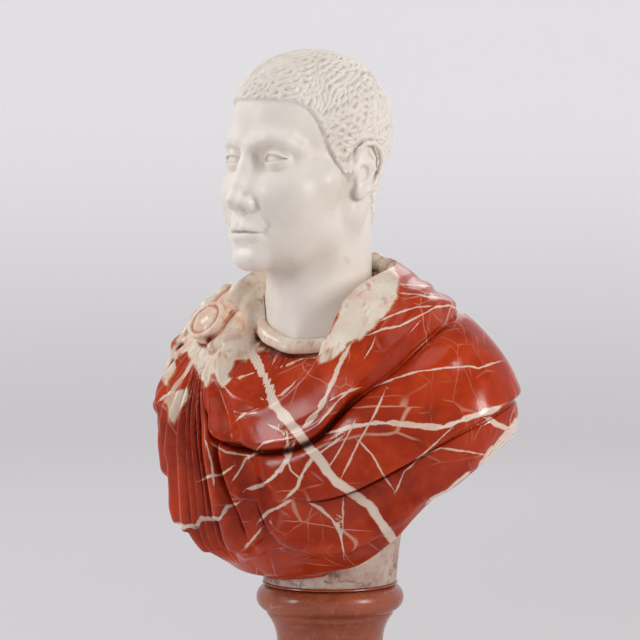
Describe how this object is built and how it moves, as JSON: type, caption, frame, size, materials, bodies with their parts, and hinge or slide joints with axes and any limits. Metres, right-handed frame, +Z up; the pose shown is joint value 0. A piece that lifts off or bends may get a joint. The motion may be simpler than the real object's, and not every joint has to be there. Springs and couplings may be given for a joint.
{
  "type": "roman emperor bust",
  "caption": "Draped portrait bust of a Roman emperor in white and red veined marble, cloak pinned at the shoulder, on a turned round socle.",
  "frame": {"origin": "centre of the socle's flat underside", "axes": "+Z up, the figure faces -Y, the figure's left is +X"},
  "size_m": [0.4394, 0.2584, 0.7274],
  "materials": {
    "white_marble": "smooth white marble, softly polished",
    "red_marble": "polished red marble with white, cream and orange veins, unpolished stem",
    "socle_marble": "polished dusty red marble"
  },
  "bodies": {
    "root": {"head": "white_marble", "draped_bust": "red_marble", "socle": "socle_marble"}
  },
  "joints": []
}
